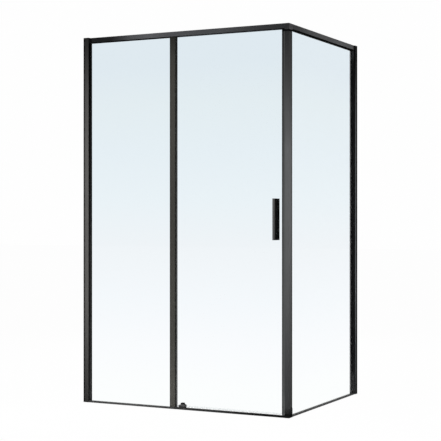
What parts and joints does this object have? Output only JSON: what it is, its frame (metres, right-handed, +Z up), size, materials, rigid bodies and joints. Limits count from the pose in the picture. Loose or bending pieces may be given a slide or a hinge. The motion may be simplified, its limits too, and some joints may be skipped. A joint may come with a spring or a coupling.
{
  "type": "shower enclosure",
  "caption": "Black-framed corner shower enclosure with a fixed front pane, a sliding glass door on top rollers, a slim bar handle and a fixed side pane.",
  "frame": {"origin": "centre of the enclosure's outline on the floor", "axes": "+Z up; -Y is the front with the sliding door; +X is the closed side pane; the room's walls stand at -X and at +Y"},
  "size_m": [1.2, 0.955, 1.95],
  "materials": {
    "black_aluminium": "matt black powder coat",
    "black_plastic": "fine moulded grain",
    "grey_plastic": "satin moulding",
    "clear_glass": "clear toughened, arrised edges",
    "black_rubber": "matt",
    "seal_vinyl": "satin flexible vinyl",
    "stainless_steel": "brushed",
    "white_nylon": "turned"
  },
  "bodies": {
    "root": {"wall_profile_left": "black_aluminium", "wall_profile_rear": "black_aluminium", "wall_profile_cap_left": "black_plastic", "wall_profile_cap_rear": "black_plastic", "inner_frame_left": "black_aluminium", "inner_frame_rear": "black_aluminium", "frame_screws": "stainless_steel", "frame_screw_caps": "black_plastic", "front_top_rail": "black_aluminium", "side_top_rail": "black_aluminium", "front_bottom_rail": "black_aluminium", "door_threshold": "black_aluminium", "side_bottom_rail": "black_aluminium", "corner_post": "black_aluminium", "corner_top_connector": "black_plastic", "corner_foot": "black_plastic", "rail_connector_left": "black_plastic", "rail_connector_rear": "black_plastic", "connector_screws": "stainless_steel", "fixed_glass": "clear_glass", "side_glass": "clear_glass", "setting_blocks": "black_rubber", "mid_post": "black_aluminium", "mid_post_plugs": "black_plastic", "fixed_glass_gasket": "black_rubber", "mid_post_gasket": "black_rubber", "fixed_glass_top_gasket": "black_rubber", "side_glass_front_gasket": "black_rubber", "side_glass_rear_gasket": "black_rubber", "side_glass_top_gasket": "black_rubber", "strike_profile": "black_aluminium", "strike_magnet_seal": "seal_vinyl", "strike_screws": "stainless_steel", "guide_base": "grey_plastic", "guide_pads": "black_plastic", "guide_screws": "stainless_steel", "rail_stops": "black_rubber", "rail_stop_screws": "stainless_steel"},
    "door": {"door_glass": "clear_glass", "door_hanger_profile": "black_aluminium", "door_edge_seal": "seal_vinyl", "door_magnet_seal": "seal_vinyl", "door_bottom_seal": "seal_vinyl", "trolley_left": "stainless_steel", "trolley_right": "stainless_steel", "trolley_screws": "stainless_steel", "roller_axle_pins": "stainless_steel", "handle_outer": "black_aluminium", "handle_inner": "black_aluminium", "handle_gaskets": "black_rubber", "handle_bushes": "white_nylon", "handle_studs": "stainless_steel"},
    "roller_1": {"roller_tread_1": "white_nylon", "roller_bearing_1": "stainless_steel"},
    "roller_2": {"roller_tread_2": "white_nylon", "roller_bearing_2": "stainless_steel"},
    "roller_3": {"roller_tread_3": "white_nylon", "roller_bearing_3": "stainless_steel"},
    "roller_4": {"roller_tread_4": "white_nylon", "roller_bearing_4": "stainless_steel"}
  },
  "joints": [
    {"name": "door_slide", "type": "slide", "parent": "root", "child": "door", "axis": [-1, 0, 0], "range_m": [0, 0.475]},
    {"name": "roller_1_spin", "type": "hinge", "parent": "door", "child": "roller_1", "pos_m": [0.032, -0.44, 1.9338], "axis": [0, -1, 0], "range_deg": [0, 3030]},
    {"name": "roller_2_spin", "type": "hinge", "parent": "door", "child": "roller_2", "pos_m": [0.072, -0.44, 1.9338], "axis": [0, -1, 0], "range_deg": [0, 3030]},
    {"name": "roller_3_spin", "type": "hinge", "parent": "door", "child": "roller_3", "pos_m": [0.429, -0.44, 1.9338], "axis": [0, -1, 0], "range_deg": [0, 3030]},
    {"name": "roller_4_spin", "type": "hinge", "parent": "door", "child": "roller_4", "pos_m": [0.469, -0.44, 1.9338], "axis": [0, -1, 0], "range_deg": [0, 3030]}
  ],
  "couplings": [
    {"joint": "roller_1_spin", "follows": "door_slide", "rad_per_m": 111.11},
    {"joint": "roller_2_spin", "follows": "door_slide", "rad_per_m": 111.11},
    {"joint": "roller_3_spin", "follows": "door_slide", "rad_per_m": 111.11},
    {"joint": "roller_4_spin", "follows": "door_slide", "rad_per_m": 111.11}
  ]
}
